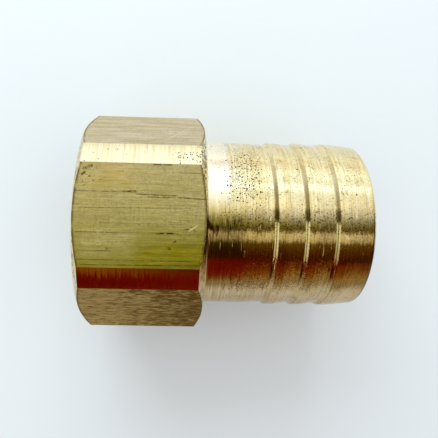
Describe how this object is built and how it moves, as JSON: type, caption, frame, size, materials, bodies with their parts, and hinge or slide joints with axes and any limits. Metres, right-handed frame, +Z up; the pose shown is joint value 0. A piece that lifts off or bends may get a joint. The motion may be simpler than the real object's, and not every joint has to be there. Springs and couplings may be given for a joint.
{
  "type": "hose barb tail",
  "caption": "Brass hose tail: a hexagon head with a female pipe-thread port, and a turned tail with shallow barbs that a soft hose is pushed over and clamped on.",
  "frame": {"origin": "under the middle of the part's length, on the surface that its lowest hexagon flat lies on", "axes": "+X along the part's axis from the head to the nose, +Z up, square to the flat that it lies on"},
  "size_m": [0.056, 0.045, 0.041],
  "materials": {
    "turned_brass": "bare yellow brass: drawn bar skin on the six flats, fine turning rings on the corners, chamfers and tail, lightly pitted and tarnished"
  },
  "bodies": {
    "root": {"hose_tail": "turned_brass"}
  },
  "joints": []
}
